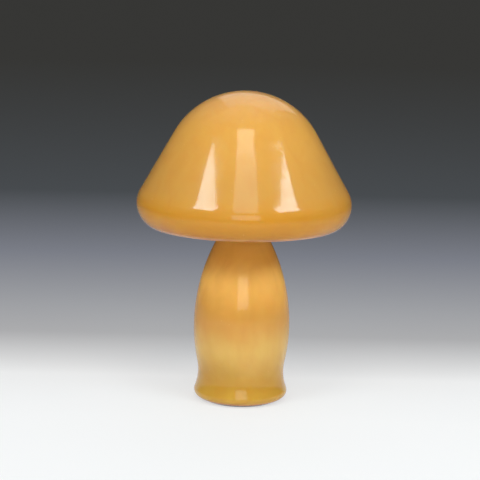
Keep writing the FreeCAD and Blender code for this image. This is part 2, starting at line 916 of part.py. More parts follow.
def bulb_insulator():
    """The black glass that closes the cap round its contact."""
    return turned([
        corner(contact_radius + running_gap, bulb_bottom + contact_height - 0.6),
        corner(insulator_tip_radius, bulb_bottom + contact_height - 0.6),
        corner(insulator_tip_radius + 4.0, cap_bottom),
        corner(insulator_tip_radius + 4.0, cap_bottom + 2.0),
        corner(contact_radius + running_gap, cap_bottom + 2.0),
    ])


def bulb_contact():
    """The soldered foot contact, domed downwards."""
    centre = point(0, bulb_bottom + contact_dome)
    reach = math.degrees(math.asin(contact_radius / contact_dome))
    dome = arc(centre, contact_dome, -90, -90 + reach)
    return turned([dome, corner(contact_radius, cap_bottom + 2.0), corner(0, cap_bottom + 2.0)])


def bulb_cement():
    """The ring of basing cement between the cap and the neck."""
    inner = bulb_neck_radius
    outer = screw_cap_radius - screw_cap_wall
    return ring(inner, outer, neck_bottom, cap_top - 1.5)


def bulb_stem():
    """The flared glass stem, sealed to the neck's foot and pressed flat at its head."""
    inner = bulb_neck_radius - bulb_wall
    flare_top = neck_bottom + stem_flare_height
    tube = turned([
        corner(inner, neck_bottom),
        corner(inner, neck_bottom + bulb_wall),
        corner(stem_tube_radius, flare_top),
        corner(stem_tube_radius, neck_bottom + stem_height),
        corner(0, neck_bottom + stem_height),
        corner(0, neck_bottom + stem_height - 4.0),
        corner(stem_tube_radius - bulb_wall, neck_bottom + stem_height - 4.0),
        corner(stem_tube_radius - bulb_wall, flare_top - 1.0),
    ])
    press_bottom = lead_start_height - stem_press_height
    press_place = FreeCAD.Vector(-lead_spread / 2, -stem_press_thickness / 2, press_bottom)
    press = Part.makeBox(lead_spread, stem_press_thickness, stem_press_height, press_place)
    return tube.fuse(press)


def lead_wires():
    """Two leads that spread from the press up to the ends of the filament."""
    group = []
    start_z = lead_start_height
    for side in (-1, 1):
        start = FreeCAD.Vector(side * lead_spread / 3, 0, start_z)
        end = FreeCAD.Vector(side * lead_spread, 0, start_z + lead_height)
        rise = end - start
        wire = Part.makeCylinder(lead_radius, rise.Length, start, rise)
        trim = Part.makeBox(40, 10, 10, FreeCAD.Vector(-20, -5, start_z - 10))
        group.append(wire.cut(trim))
    return Part.Compound(group)


def filament():
    """The filament as one sagging arc between the leads."""
    start_z = lead_start_height + lead_height + lead_radius + filament_radius
    half = lead_spread + lead_radius
    arc_radius = (half ** 2 + filament_sag ** 2) / (2 * filament_sag)
    centre = point(0, start_z - arc_radius + filament_sag)
    spread = math.degrees(math.asin(half / arc_radius))
    path = Part.Wire([Part.Arc(*arc(centre, arc_radius, 90 - spread, 90 + spread)).toShape()])
    start = path.Edges[0].valueAt(path.Edges[0].FirstParameter)
    tangent = path.Edges[0].tangentAt(path.Edges[0].FirstParameter)
    section = Part.Wire([Part.makeCircle(filament_radius, start, tangent)])
    return path.makePipeShell([section], True, False)


# Every piece under its own name

def write(name, shape):
    if not shape.isValid():
        print("not valid:", name)
    shape.exportStep("parts/" + name + ".step")
    box = shape.BoundBox
    print(
        "%-18s solids %d volume %9.1f  x %.1f..%.1f  y %.1f..%.1f  z %.1f..%.1f"
        % (name, len(shape.Solids), shape.Volume, box.XMin, box.XMax, box.YMin, box.YMax, box.ZMin, box.ZMax)
    )


def main():
    os.makedirs("parts", exist_ok=True)
    write("shade_glass", shade_glass())
    write("body_glass", body_glass())
    write("felt_pad", felt_pad())
    write("cord_grommet", cord_grommet())
    write("threaded_rod", threaded_rod())
    write("rod_bush", rod_bush())
    write("base_gasket", base_gasket())
    write("base_washer", base_washer())
    write("base_nut", hex_nut(base_nut_bottom))
    write("neck_gasket", neck_gasket())
    write("vase_cap", vase_cap())
    write("neck_nut", hex_nut(hub_top))
    write("carrier_hub", carrier_hub_drilled())
    arm = carrier_arm()
    sleeve = arm_sleeve()
    for number, angle in enumerate(arm_angles(), start=1):
        write("carrier_arm_%d" % number, placed_round(arm, angle))
        write("arm_sleeve_%d" % number, placed_round(sleeve, angle))
    write("carrier_rivets", rivets())
    write("lock_washer", lock_washer())
    write("holder_cap", holder_cap())
    write("grub_screw", grub_screw())
    write("holder_shell", holder_shell())
    write("holder_liner", holder_liner())
    write("holder_block", holder_block())
    write("screw_shell", screw_shell())
    write("centre_contact", centre_contact())
    write("contact_rivet", contact_rivet())
    write("terminal_screws", terminal_screws())
    write("shaft_bushing", shaft_bushing())
    write("switch_shaft", switch_shaft())
    write("switch_rotor", switch_rotor())
    write("switch_leaf", switch_leaf())
    write("switch_knob", switch_knob())
    write("bulb_envelope", bulb_envelope())
    write("bulb_screw_cap", bulb_screw_cap())
    write("bulb_insulator", bulb_insulator())
    write("bulb_contact", bulb_contact())
    write("bulb_cement", bulb_cement())
    write("bulb_stem", bulb_stem())
    write("lead_wires", lead_wires())
    write("filament", filament())


main()
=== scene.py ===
import json
import math

import bpy
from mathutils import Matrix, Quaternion, Vector


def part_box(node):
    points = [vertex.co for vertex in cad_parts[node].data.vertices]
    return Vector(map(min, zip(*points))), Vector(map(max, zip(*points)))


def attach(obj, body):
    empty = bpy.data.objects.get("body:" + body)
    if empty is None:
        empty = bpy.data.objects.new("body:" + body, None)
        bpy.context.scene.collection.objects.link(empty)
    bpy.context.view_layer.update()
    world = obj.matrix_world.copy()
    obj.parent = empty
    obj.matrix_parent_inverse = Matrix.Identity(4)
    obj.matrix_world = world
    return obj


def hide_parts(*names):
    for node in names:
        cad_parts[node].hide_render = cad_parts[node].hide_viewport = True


# The looks of a mushroom table lamp: blown amber glass over opal white, a brass carrier and a screw-in bulb.
# Metres, +Z up, -Y towards the viewer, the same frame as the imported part.

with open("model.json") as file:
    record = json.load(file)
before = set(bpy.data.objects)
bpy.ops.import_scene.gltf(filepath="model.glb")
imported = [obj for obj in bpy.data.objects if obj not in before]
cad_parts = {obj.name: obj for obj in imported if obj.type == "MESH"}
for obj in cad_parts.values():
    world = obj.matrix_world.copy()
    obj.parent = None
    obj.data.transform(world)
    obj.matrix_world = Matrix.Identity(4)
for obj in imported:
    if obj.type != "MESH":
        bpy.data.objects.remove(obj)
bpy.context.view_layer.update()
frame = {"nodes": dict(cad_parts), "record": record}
slot_of = {row["node"]: row["material_slot"] for row in frame["record"]["subparts"]}

MM = 0.001
weld_distance = 0.001 * MM
hair = 0.01 * MM
crease_angle = 32.0

# Glass shade, as the glass shop draws it
shade_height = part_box("shade_glass")[1].z
shade_radius = 123.95 * MM
dome_radius = 94.0 * MM
flank_tilt = 29.6
rim_roll_radius = 29.5 * MM
rim_turn = 52.0
shade_wall = 4.0 * MM

# Glass body
body_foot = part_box("body_glass")[0].z
neck_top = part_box("body_glass")[1].z
foot_radius = 54.5 * MM
foot_roll = 7.5 * MM
rest_ring_width = 7.0 * MM
kick_up = 9.5 * MM
kick_seat_radius = 19.0 * MM
rod_hole_radius = 6.4 * MM
waist_radius = 50.2 * MM
waist_height = 32.0 * MM
belly_radius = 56.0 * MM
shoulder_curve = 220.0 * MM
neck_radius = 25.0 * MM
neck_curve = 14.0 * MM
neck_straight = 6.0 * MM
body_wall = 5.0 * MM

# The kick-up's fall, as (share of the way out, share of its height)
kick_fall = ((0.0, 1.0), (0.12, 0.97), (0.3, 0.82), (0.5, 0.5), (0.7, 0.18), (0.88, 0.03), (1.0, 0.0))

# The glass pieces' material slots, in the order in which the finishes are given
amber_side, opal_side, rim_side = 0, 1, 2

# Lamp screw of 27 mm: the bulb's rolled thread inside the holder's, with a running gap
thread_pitch = 3.629 * MM
thread_root = 12.1 * MM
thread_depth = 1.0 * MM
thread_gap = 0.18 * MM
thread_fade = 2.4 * MM
thread_step = thread_pitch / 14
rolled_sheet = 0.3 * MM

# Where the threads start above and end below their pieces' ends, and the openings in both floors
cap_thread_start = 1.6 * MM
cap_thread_end = 1.8 * MM
cap_foot_radius = 10.5 * MM
shell_thread_start = 1.2 * MM
shell_thread_end = 0.6 * MM
shell_floor_hole = 7.2 * MM

# Bulb
bulb_radius = 22.5 * MM
bulb_neck_radius = 11.6 * MM
bulb_neck_curve = 20.0 * MM
bulb_wall = 0.8 * MM

# Rubber sleeves on the carrier's fingers
sleeve_width = 14.4 * MM
sleeve_depth = 5.0 * MM
sleeve_length = 9.8 * MM
sleeve_corner = 1.1 * MM
sleeve_crease_angle = 40.0
sleeve_mouth_border = 0.35 * MM
sleeve_mouth_depth = 0.5 * MM
sleeve_stand_off = 2.8 * MM
finger_foot_height = 262.0 * MM
sleeve_start = 6.2 * MM
finger_angles = (90, 210, 330)

# Knob of the switch
knob_radius = 7.0 * MM
knob_length = 13.0 * MM
knob_skirt = 3.0 * MM
knob_bore = 1.8 * MM
knob_bore_depth = 3.2 * MM
grip_radius = 6.2 * MM
flute_count = 12
flute_depth = 0.75 * MM

# Grommet of the cord's inlet
cord_hole_radius = 5.4 * MM
grommet_bore = 3.4 * MM
grommet_sleeve = 5.35 * MM
grommet_flange = 8.0 * MM
grommet_lip = 2.4 * MM

# How far the grommet's outer face stands behind the waist
grommet_proud = 1.6 * MM

# Rubber rings: piece, node, inner and outer radius and rounded edge in millimetres
rubber_rings = (("neck_ring", "neck_gasket", 20.9, 24.1, 0.5), ("base_ring", "base_gasket", 5.2, 15.0, 0.4))


# Outlines as (distance from the axis, height) points

def along(centre, radius, angle):
    turn = math.radians(angle)
    return (centre[0] + radius * math.cos(turn), centre[1] + radius * math.sin(turn))


def direction(start, end):
    return math.degrees(math.atan2(end[1] - start[1], end[0] - start[0]))


def arc(centre, radius, start, end, step):
    """Points on a circle, a few degrees apart."""
    count = max(2, math.ceil(abs(end - start) / step))
    return [along(centre, radius, start + (end - start) * i / count) for i in range(count + 1)]


def run(start, end, step):
    """Points on a straight stretch, without its two ends."""
    count = max(1, math.ceil(math.dist(start, end) / step))
    return [
        (start[0] + (end[0] - start[0]) * i / count, start[1] + (end[1] - start[1]) * i / count)
        for i in range(1, count)
    ]


# Work on pieces

def picked(piece):
    """Leaves this piece alone selected, and active."""
    bpy.ops.object.select_all(action="DESELECT")
    piece.select_set(True)
    bpy.context.view_layer.objects.active = piece


def smoothed(angle=crease_angle):
    """Shades the selected piece smooth, except over edges that turn by more than the angle."""
    bpy.ops.object.shade_smooth_by_angle(angle=math.radians(angle))


def turned(name, outline, steps, closed=True):
    """A form spun from its outline round the lamp's axis. Points that touch the axis close its poles."""
    bpy.ops.object.select_all(action="DESELECT")
    bpy.ops.mesh.primitive_plane_add(size=MM)
    piece = bpy.context.object
    piece.name = name
    bpy.ops.object.mode_set(mode="EDIT")
    bpy.ops.mesh.select_all(action="SELECT")
    bpy.ops.mesh.merge(type="CENTER")
    bpy.ops.transform.translate(value=(outline[0][0], 0, outline[0][1]))
    for before, after in zip(outline, outline[1:]):
        step = (after[0] - before[0], 0, after[1] - before[1])
        bpy.ops.mesh.extrude_region_move(TRANSFORM_OT_translate={"value": step})
    if closed and math.dist(outline[0], outline[-1]) > weld_distance:
        bpy.ops.mesh.select_all(action="DESELECT")
        bpy.ops.object.mode_set(mode="OBJECT")
        piece.data.vertices[0].select = True
        piece.data.vertices[len(piece.data.vertices) - 1].select = True
        bpy.ops.object.mode_set(mode="EDIT")
        bpy.ops.mesh.edge_face_add()
    bpy.ops.mesh.select_all(action="SELECT")
    bpy.ops.mesh.spin(steps=steps, angle=2 * math.pi, center=(0, 0, 0), axis=(0, 0, 1))
    bpy.ops.mesh.select_all(action="SELECT")
    bpy.ops.mesh.remove_doubles(threshold=weld_distance)
    bpy.ops.mesh.normals_make_consistent(inside=False)
    bpy.ops.object.mode_set(mode="OBJECT")
    smoothed()
    return piece


def pressed(piece, place_of):
    """Moves each point of a turned piece, given its distance from the axis, its angle and its height."""
    for vertex in piece.data.vertices:
        reach = math.hypot(vertex.co.x, vertex.co.y)
        if reach > weld_distance:
            changed = place_of(reach, math.atan2(vertex.co.y, vertex.co.x), vertex.co.z)
            vertex.co.x *= changed / reach
            vertex.co.y *= changed / reach


def laid(piece, place, turn):
    """Turns the piece, sets it in its place, and leaves both in its mesh."""
    piece.rotation_euler = turn
    piece.location = place
    picked(piece)
    bpy.ops.object.transform_apply(location=True, rotation=True, scale=True)


def drilled(piece, place, radius, depth):
    """Drills a hole along Y through the piece's wall, and leaves its edges sharp, as the drill does."""
    bpy.ops.object.select_all(action="DESELECT")
    turn = (math.radians(90), 0, 0)
    bpy.ops.mesh.primitive_cylinder_add(
        vertices=72, radius=radius, depth=depth, location=place, rotation=turn
    )
    drill = bpy.context.object
    picked(piece)
    hole = piece.modifiers.new("cord_hole", "BOOLEAN")
    hole.operation = "DIFFERENCE"
    hole.object = drill
    bpy.ops.object.modifier_apply(modifier=hole.name)
    bpy.data.objects.remove(drill)
    smoothed()


def give(piece, *chosen):
    piece.data.materials.clear()
    for made in chosen:
        piece.data.materials.append(made)


def stands_for(piece, body, node):
    """The piece takes a node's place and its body."""
    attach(piece, body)
    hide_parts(node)
    return piece


# Finishes: colours are screen values from 0 to 255, and the sizes of patterns are in metres

def linear(colour):
    """Screen values as the shader counts them."""
    def one(value):
        share = value / 255
        return share / 12.92 if share <= 0.04045 else ((share + 0.055) / 1.055) ** 2.4
    return tuple(one(value) for value in colour) + (1.0,)


def tuned(found, settings):
    """Sets a node's own sockets by their names."""
    for socket, value in settings.items():
        found.inputs[socket].default_value = value


def finish(name, colour, roughness, settings=None):
    """A new material and its shader, with a colour, a roughness and any other settings of the shader."""
    made = bpy.data.materials.new(name)
    made.use_nodes = True
    made.diffuse_color = linear(colour)
    shader = made.node_tree.nodes["Principled BSDF"]
    tuned(shader, {"Base Color": linear(colour), "Roughness": roughness})
    tuned(shader, settings or {})
    return made, shader


def node(made, kind, **values):
    found = made.node_tree.nodes.new(kind)
    for name, value in values.items():
        setattr(found, name, value)
    return found


def link(made, start, end):
    made.node_tree.links.new(start, end)


def where(made, scale=(1, 1, 1)):
    """The place on the piece, in metres, stretched for a pattern."""
    coordinates = node(made, "ShaderNodeTexCoord")
    mapping = node(made, "ShaderNodeMapping")
    tuned(mapping, {"Scale": scale})
    link(made, coordinates.outputs["Object"], mapping.inputs["Vector"])
    return mapping.outputs["Vector"]


def cloud(made, place, size, detail=3.0, warp=0.0):
    """Soft patches of a size."""
    noise = node(made, "ShaderNodeTexNoise")
    tuned(noise, {"Scale": 1 / size, "Detail": detail, "Roughness": 0.5, "Distortion": warp})
    link(made, place, noise.inputs["Vector"])
    return noise.outputs["Fac"]


def spread(made, value, low, high, start=0.3, end=0.7):
    """Stretches a value from start and end to low and high, and holds it there."""
    ranged = node(made, "ShaderNodeMapRange")
    tuned(ranged, {"From Min": start, "From Max": end, "To Min": low, "To Max": high})
    link(made, value, ranged.inputs["Value"])
    return ranged.outputs["Result"]


def calculated(made, operation, *values):
    """One step of arithmetic on numbers and other nodes' outputs."""
    maths = node(made, "ShaderNodeMath", operation=operation)
    for socket, value in zip(maths.inputs, values):
        if isinstance(value, (int, float)):
            socket.default_value = value
        else:
            link(made, value, socket)
    return maths.outputs["Value"]


def mixed(made, share, first, second):
    """A colour between two, each a screen colour or another node's output."""
    mix = node(made, "ShaderNodeMix", data_type="RGBA")
    link(made, share, mix.inputs["Factor"])
    for socket, colour in ((mix.inputs["A"], first), (mix.inputs["B"], second)):
        if isinstance(colour, tuple):
            socket.default_value = linear(colour)
        else:
            link(made, colour, socket)
    return mix.outputs["Result"]


def colour_stops(made, value, stops, blend="EASE"):
    """A colour read off a ramp of (place, screen colour) stops."""
    ramp = node(made, "ShaderNodeValToRGB")
    ramp.color_ramp.interpolation = blend
    while len(ramp.color_ramp.elements) < len(stops):
        ramp.color_ramp.elements.new(0.5)
    for element, (place, colour) in zip(ramp.color_ramp.elements, stops):
        element.position = place
        element.color = linear(colour)
    link(made, value, ramp.inputs["Fac"])
    return ramp.outputs["Color"]


def relief(made, shader, height, depth):
    bump = node(made, "ShaderNodeBump")
    tuned(bump, {"Distance": depth})
    link(made, height, bump.inputs["Height"])
    link(made, bump.outputs["Normal"], shader.inputs["Normal"])


def part_of(made, place, axis):
    split = node(made, "ShaderNodeSeparateXYZ")
    link(made, place, split.inputs["Vector"])
    return split.outputs[axis]


def seen_share(made):
    """1 for what the camera sees straight on, in gloss or through glass, and 0 for what lights the lamp."""
    path = node(made, "ShaderNodeLightPath")
    seen = calculated(made, "MAXIMUM", path.outputs["Is Camera Ray"], path.outputs["Is Glossy Ray"])
    return calculated(made, "MAXIMUM", seen, path.outputs["Is Transmission Ray"])


def patchy(made, shader, patches, first, second):
    """Colours the shader in two tones, by soft patches."""
    link(made, mixed(made, spread(made, patches, 0, 1), first, second), shader.inputs["Base Color"])


# Glass

amber, deep_amber, seed_amber = (226, 168, 86), (190, 116, 42), (244, 206, 138)

# The amber's tones over the height, as (share of it, screen colour): rim to crown, and foot to neck. They
# hold painted light and shade as well as the glass's own tone: the shade's amber darkens towards the rim as
# painted shade and pales a little towards the crown as painted light, and the body's brightest band, high on
# the shoulder, is painted light that lifts it out of the real shadow under the shade.
shade_tones_with_painted_shading = [
    (0.0, (184, 112, 18)), (0.12, (203, 140, 38)), (0.35, (200, 148, 70)), (0.75, (210, 156, 74)),
    (1.0, (214, 161, 96)),
]
# The body's bright stop at 0.72, high on the shoulder, is painted light that lifts the glass out of the real
# shadow under the shade; the other stops are partly the glass's own tone, partly painted light and shade.
body_tones_with_painted_light = [
    (0.0, (204, 160, 66)), (0.12, (194, 146, 54)), (0.3, (222, 178, 94)), (0.48, (212, 153, 70)),
    (0.72, (255, 188, 96)), (0.85, (232, 162, 72)), (1.0, (228, 158, 70)),
]


def cased_amber(name, stops, low, high):
    """Amber glass over opal white, toned over its height by the stops, partly deeper where the glass gathered
    thick and partly painted light and shade; with cords, clouds and a few seeds.
    """
    made, shader = finish(name, amber, 0.22, {
        "IOR": 1.5, "Specular IOR Level": 0.15,
        "Subsurface Weight": 0.3, "Subsurface Radius": (1.0, 0.45, 0.15), "Subsurface Scale": 0.008,
        "Coat Weight": 0.5, "Coat Roughness": 0.06, "Coat Tint": linear((255, 248, 238)),
    })
    place = where(made)
    height = spread(made, part_of(made, place, "Z"), 0, 1, low, high)
    drift = spread(made, cloud(made, place, 0.05, warp=0.6), -0.03, 0.03)
    # The height stops paint light and shade into the colour: a darker rim and a paler crown on the shade, a
    # bright band on the body's shoulder.
    tone = colour_stops(made, calculated(made, "ADD", height, drift), stops)
    cords = cloud(made, where(made, scale=(1, 1, 0.3)), 0.02, detail=4, warp=1.0)
    tone = mixed(made, spread(made, cords, 0, 0.2, 0.4, 0.8), tone, deep_amber)
    bubbles = node(made, "ShaderNodeTexVoronoi")
    tuned(bubbles, {"Scale": 90})
    link(made, place, bubbles.inputs["Vector"])
    seeds = spread(made, bubbles.outputs["Distance"], 0.35, 0, 0.03, 0.06)
    link(made, mixed(made, seeds, tone, seed_amber), shader.inputs["Base Color"])
    swell = cloud(made, where(made, scale=(1, 1, 1.6)), 0.045, detail=1)
    skin = calculated(made, "ADD", swell, calculated(made, "MULTIPLY", seeds, 0.15))
    relief(made, shader, skin, 0.0012)
    link(made, spread(made, cords, 0.12, 0.2), shader.inputs["Roughness"])
    return made


def opal_lining(name):
    """The white inner glass, warmed by the amber behind it."""
    made, shader = finish(name, (243, 236, 220), 0.22, {
        "Subsurface Weight": 0.4, "Subsurface Radius": (1.0, 0.7, 0.45), "Subsurface Scale": 0.006,
        "Coat Weight": 0.4, "Coat Roughness": 0.08,
    })
    place = where(made)
    patchy(made, shader, cloud(made, place, 0.05, detail=4, warp=0.5), (245, 239, 226), (236, 222, 194))
    relief(made, shader, cloud(made, place, 0.04, detail=1), 0.0009)
    return made


def polished_rim(name):
    """Where amber and white meet at the fire-polished rim."""
    made, shader = finish(name, (184, 110, 42), 0.12, {
        "Subsurface Weight": 0.2, "Subsurface Radius": (1.0, 0.4, 0.12), "Subsurface Scale": 0.004,
        "Coat Weight": 0.6,
    })
    streaks = cloud(made, where(made, scale=(1, 1, 8)), 0.02, detail=3)
    patchy(made, shader, streaks, (170, 96, 34), (206, 140, 66))
    relief(made, shader, cloud(made, where(made), 0.012, detail=2), 0.0003)
    return made


def pearl_bulb_glass(name):
    """Thin frosted glass of the bulb."""
    made, shader = finish(name, (243, 240, 232), 0.42, {
        "Transmission Weight": 0.35, "Coat Weight": 0.35, "Coat Roughness": 0.12,
    })
    mottle = cloud(made, where(made), 0.006, detail=5)
    patchy(made, shader, mottle, (240, 238, 230), (226, 222, 210))
    link(made, spread(made, mottle, 0.36, 0.5), shader.inputs["Roughness"])
    relief(made, shader, cloud(made, where(made), 0.0006, detail=2), 0.00004)
    return made


def clear_glass(name):
    made, shader = finish(name, (232, 240, 238), 0.04, {"Transmission Weight": 0.95})
    streaks = cloud(made, where(made, scale=(1, 1, 0.2)), 0.003, detail=2)
    patchy(made, shader, streaks, (236, 243, 240), (214, 228, 224))
    relief(made, shader, streaks, 0.0001)
    return made


def black_cap_glass(name):
    made, shader = finish(name, (30, 28, 32), 0.14, {"Coat Weight": 0.5})
    flow = cloud(made, where(made), 0.004, detail=3, warp=1.0)
    patchy(made, shader, flow, (24, 22, 28), (58, 50, 60))
    relief(made, shader, flow, 0.0002)
    return made


# Metals

def worked_metal(name, bright, dull, roughness, grain, size):
    """Bare metal with its tool marks, a little tarnish and rubbed bright spots."""
    made, shader = finish(name, bright, roughness, {"Metallic": 1.0})
    marks = cloud(made, where(made, scale=grain), size, detail=4)
    tarnish = cloud(made, where(made), 0.014, detail=5, warp=0.4)
    tone = mixed(made, spread(made, tarnish, 0, 0.75, 0.45, 0.8), bright, dull)
    link(made, tone, shader.inputs["Base Color"])
    rubbed = spread(made, tarnish, roughness, roughness + 0.2)
    sheen = calculated(made, "ADD", spread(made, marks, -0.06, 0.06), rubbed)
    link(made, sheen, shader.inputs["Roughness"])
    relief(made, shader, marks, 0.00005)
    return made


def spun_brass(name):
    return worked_metal(name, (212, 172, 96), (150, 112, 58), 0.24, (1, 1, 30), 0.004)


def formed_brass(name):
    return worked_metal(name, (206, 166, 92), (142, 106, 56), 0.3, (1, 1, 1), 0.0016)


def brass_fastener(name):
    return worked_metal(name, (214, 178, 104), (156, 118, 62), 0.27, (1, 1, 12), 0.002)


def contact_brass(name):
    return worked_metal(name, (222, 184, 108), (168, 126, 66), 0.2, (12, 1, 1), 0.002)


def zinc_steel(name):
    return worked_metal(name, (186, 190, 196), (132, 138, 142), 0.34, (1, 1, 1), 0.0012)


def cap_aluminium(name):
    return worked_metal(name, (206, 208, 210), (164, 166, 170), 0.3, (1, 1, 10), 0.002)


def solder(name):
    return worked_metal(name, (176, 178, 180), (120, 122, 126), 0.38, (1, 1, 1), 0.0012)


def lead_wire(name):
    return worked_metal(name, (190, 182, 172), (140, 132, 122), 0.3, (1, 1, 1), 0.0006)


def tungsten(name):
    return worked_metal(name, (120, 122, 128), (84, 84, 90), 0.4, (18, 1, 1), 0.0004)


# Rubber, board, ceramic and mouldings

def dull_matter(name, colour, other, roughness, size, depth, patch=0.008, settings=None):
    """A plain material with an uneven colour in patches, and a fine skin with marks of a size and depth."""
    made, shader = finish(name, colour, roughness, settings)
    patchy(made, shader, cloud(made, where(made), patch, detail=5), colour, other)
    skin = cloud(made, where(made), size, detail=3)
    relief(made, shader, skin, depth)
    link(made, spread(made, skin, roughness - 0.08, roughness + 0.08), shader.inputs["Roughness"])
    return made


def felt(name):
    """Green wool felt: matted fibres and a soft nap."""
    nap = {"Sheen Weight": 0.6, "Sheen Roughness": 0.5, "Sheen Tint": linear((120, 150, 120))}
    return dull_matter(name, (52, 84, 58), (34, 60, 42), 0.92, 0.0012, 0.0004, settings=nap)


def brown_rubber(name):
    return dull_matter(name, (74, 48, 34), (56, 36, 28), 0.55, 0.0008, 0.00004)


def black_rubber(name):
    return dull_matter(name, (34, 34, 36), (46, 45, 46), 0.6, 0.0008, 0.00005)


def clear_rubber(name):
    milky = {"Subsurface Weight": 0.6, "Subsurface Radius": (1.0, 0.9, 0.7), "Subsurface Scale": 0.003}
    return dull_matter(name, (226, 224, 212), (206, 202, 186), 0.34, 0.0012, 0.00003, settings=milky)


def liner_board(name):
    return dull_matter(name, (176, 140, 92), (150, 114, 70), 0.75, 0.0006, 0.00006)


def porcelain(name):
    glaze = {"Coat Weight": 0.5, "Coat Roughness": 0.1}
    return dull_matter(name, (236, 232, 220), (222, 214, 196), 0.24, 0.002, 0.00005, 0.01, glaze)


def cam_fibre(name):
    return dull_matter(name, (142, 52, 40), (110, 38, 32), 0.6, 0.0005, 0.00005)


def bakelite(name):
    """Brown pressed resin with a faint marbling."""
    made, shader = finish(name, (58, 34, 22), 0.22, {"Coat Weight": 0.4, "Coat Roughness": 0.12})
    swirl = spread(made, cloud(made, where(made), 0.006, detail=6, warp=2.5), 0, 1, 0.4, 0.7)
    link(made, mixed(made, swirl, (50, 29, 19), (92, 54, 32)), shader.inputs["Base Color"])
    relief(made, shader, cloud(made, where(made), 0.0012, detail=3), 0.00005)
    return made


def basing_cement(name):
    return dull_matter(name, (196, 178, 148), (164, 146, 118), 0.85, 0.0007, 0.00012)


# Glass shade

dome_centre = (0.0, shade_height - dome_radius)
roll_centre_r = shade_radius - rim_roll_radius
flank_sine = math.sin(math.radians(flank_tilt))
flank_cosine = math.cos(math.radians(flank_tilt))
roll_centre_z = (
    dome_radius - rim_roll_radius + dome_centre[1] * flank_sine - roll_centre_r * flank_cosine
) / flank_sine
roll_centre = (roll_centre_r, roll_centre_z)


def shade_line(inset):
    """From crown to rim, at a depth below the outer skin."""
    dome = arc(dome_centre, dome_radius - inset, 90, flank_tilt, step=2.5)
    roll = arc(roll_centre, rim_roll_radius - inset, flank_tilt, -rim_turn, step=4)
    return dome + run(dome[-1], roll[0], 4 * MM) + roll


def blown_shade():
    """The bell shade: amber outside, opal inside, and the fire-polished rim between them."""
    middle = along(roll_centre, rim_roll_radius - shade_wall / 2, -rim_turn)
    rim = arc(middle, shade_wall / 2, -rim_turn, -rim_turn - 180, step=15)
    outline = shade_line(0) + rim[1:-1] + list(reversed(shade_line(shade_wall)))
    shade = turned("shade_blown", outline, steps=180, closed=False)
    give(shade, amber_shade, opal, rim_finish)
    rim_top = middle[1] + 0.4 * shade_wall
    rim_reach = middle[0] + shade_wall
    hollow_middle = Vector((0, 0, dome_centre[1] - 20 * MM))
    for face in shade.data.polygons:
        near_rim = face.center.z < rim_top and face.center.xy.length < rim_reach
        facing_in = face.normal.dot(face.center - hollow_middle) < 0
        face.material_index = rim_side if near_rim else (opal_side if facing_in else amber_side)
    return stands_for(shade, "shade", "shade_glass")


# Glass body

foot_centre = (foot_radius - foot_roll, body_foot + foot_roll)
waist_step = foot_radius - waist_radius
waist_rise = waist_height - foot_centre[1]
waist_curve = (waist_step ** 2 + waist_rise ** 2) / (2 * waist_step) - foot_roll
waist_centre = (waist_radius + waist_curve, waist_height)
neck_offset = neck_radius + neck_curve + shoulder_curve - belly_radius
neck_rise = math.sqrt((shoulder_curve + neck_curve) ** 2 - neck_offset ** 2)
belly_height = neck_top - neck_straight - neck_rise
belly_step = belly_radius - waist_radius
belly_rise = belly_height - waist_height
belly_curve = (belly_step ** 2 + belly_rise ** 2) / (2 * belly_step) - waist_curve
belly_centre = (belly_radius - belly_curve, belly_height)
shoulder_centre = (belly_radius - shoulder_curve, belly_height)
neck_centre = (neck_radius + neck_curve, belly_height + neck_rise)


def body_line(inset):
    """From the foot's roll to the neck, at a depth below the outer skin."""
    to_waist = direction(foot_centre, waist_centre)
    to_belly = direction(waist_centre, belly_centre)
    to_neck = direction(shoulder_centre, neck_centre)
    return (
        arc(foot_centre, foot_roll - inset, -90, to_waist, step=7)
        + arc(waist_centre, waist_curve + inset, to_waist + 180, to_belly, step=5)[1:]
        + arc(belly_centre, belly_curve - inset, to_belly - 180, 0, step=2)[1:]
        + arc(shoulder_centre, shoulder_curve - inset, 0, to_neck, step=1.2)[1:]
        + arc(neck_centre, neck_curve + inset, to_neck + 180, 180, step=8)[1:]
    )


def underside_line(lift):
    """The kick-up, from the rod's hole out to the foot's resting ring."""
    width = foot_centre[0] - rest_ring_width - kick_seat_radius
    rise = [
        (kick_seat_radius + width * share, body_foot + lift + kick_up * fall) for share, fall in kick_fall
    ]
    return [(rod_hole_radius, body_foot + kick_up + lift)] + rise


def blown_body():
    """The baluster body: one blown wall from the kick-up over foot, waist, belly and shoulder to the neck."""
    rim = (neck_radius - body_wall / 2, neck_top - body_wall / 2)
    lip = arc(rim, body_wall / 2, 0, 180, step=15)
    outline = (
        underside_line(0) + body_line(0) + lip
        + list(reversed(body_line(body_wall))) + list(reversed(underside_line(body_wall)))
    )
    body = turned("body_blown", outline, steps=144)
    give(body, amber_body, opal, rim_finish)
    for face in body.data.polygons:
        outward = Vector((face.center.x, face.center.y, 0)).normalized()
        facing_in = face.normal.dot(outward) < -0.05 and face.center.z > body_foot + body_wall
        under = face.normal.z < -0.6 and face.center.z < body_foot + kick_up + MM
        face.material_index = opal_side if facing_in else (rim_side if under else amber_side)
    low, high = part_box("cord_grommet")
    drilled(body, (0, waist_radius, (low.z + high.z) / 2), cord_hole_radius, 3 * body_wall)
    return stands_for(body, "base", "body_glass")


# Bulb and its thread

def thread_height(z, low, high):
    """The thread's share of its full depth: 1 along it, falling to 0 at its two ends."""
    return max(0.0, min(1.0, (z - low) / thread_fade, (high - z) / thread_fade))


def thread_share(z, low, high, angle):
    """How far the thread stands out at a place, from 0 at its root and its two ends to 1 at its crest."""
    return thread_height(z, low, high) * (1 + math.cos(2 * math.pi * z / thread_pitch - angle)) / 2


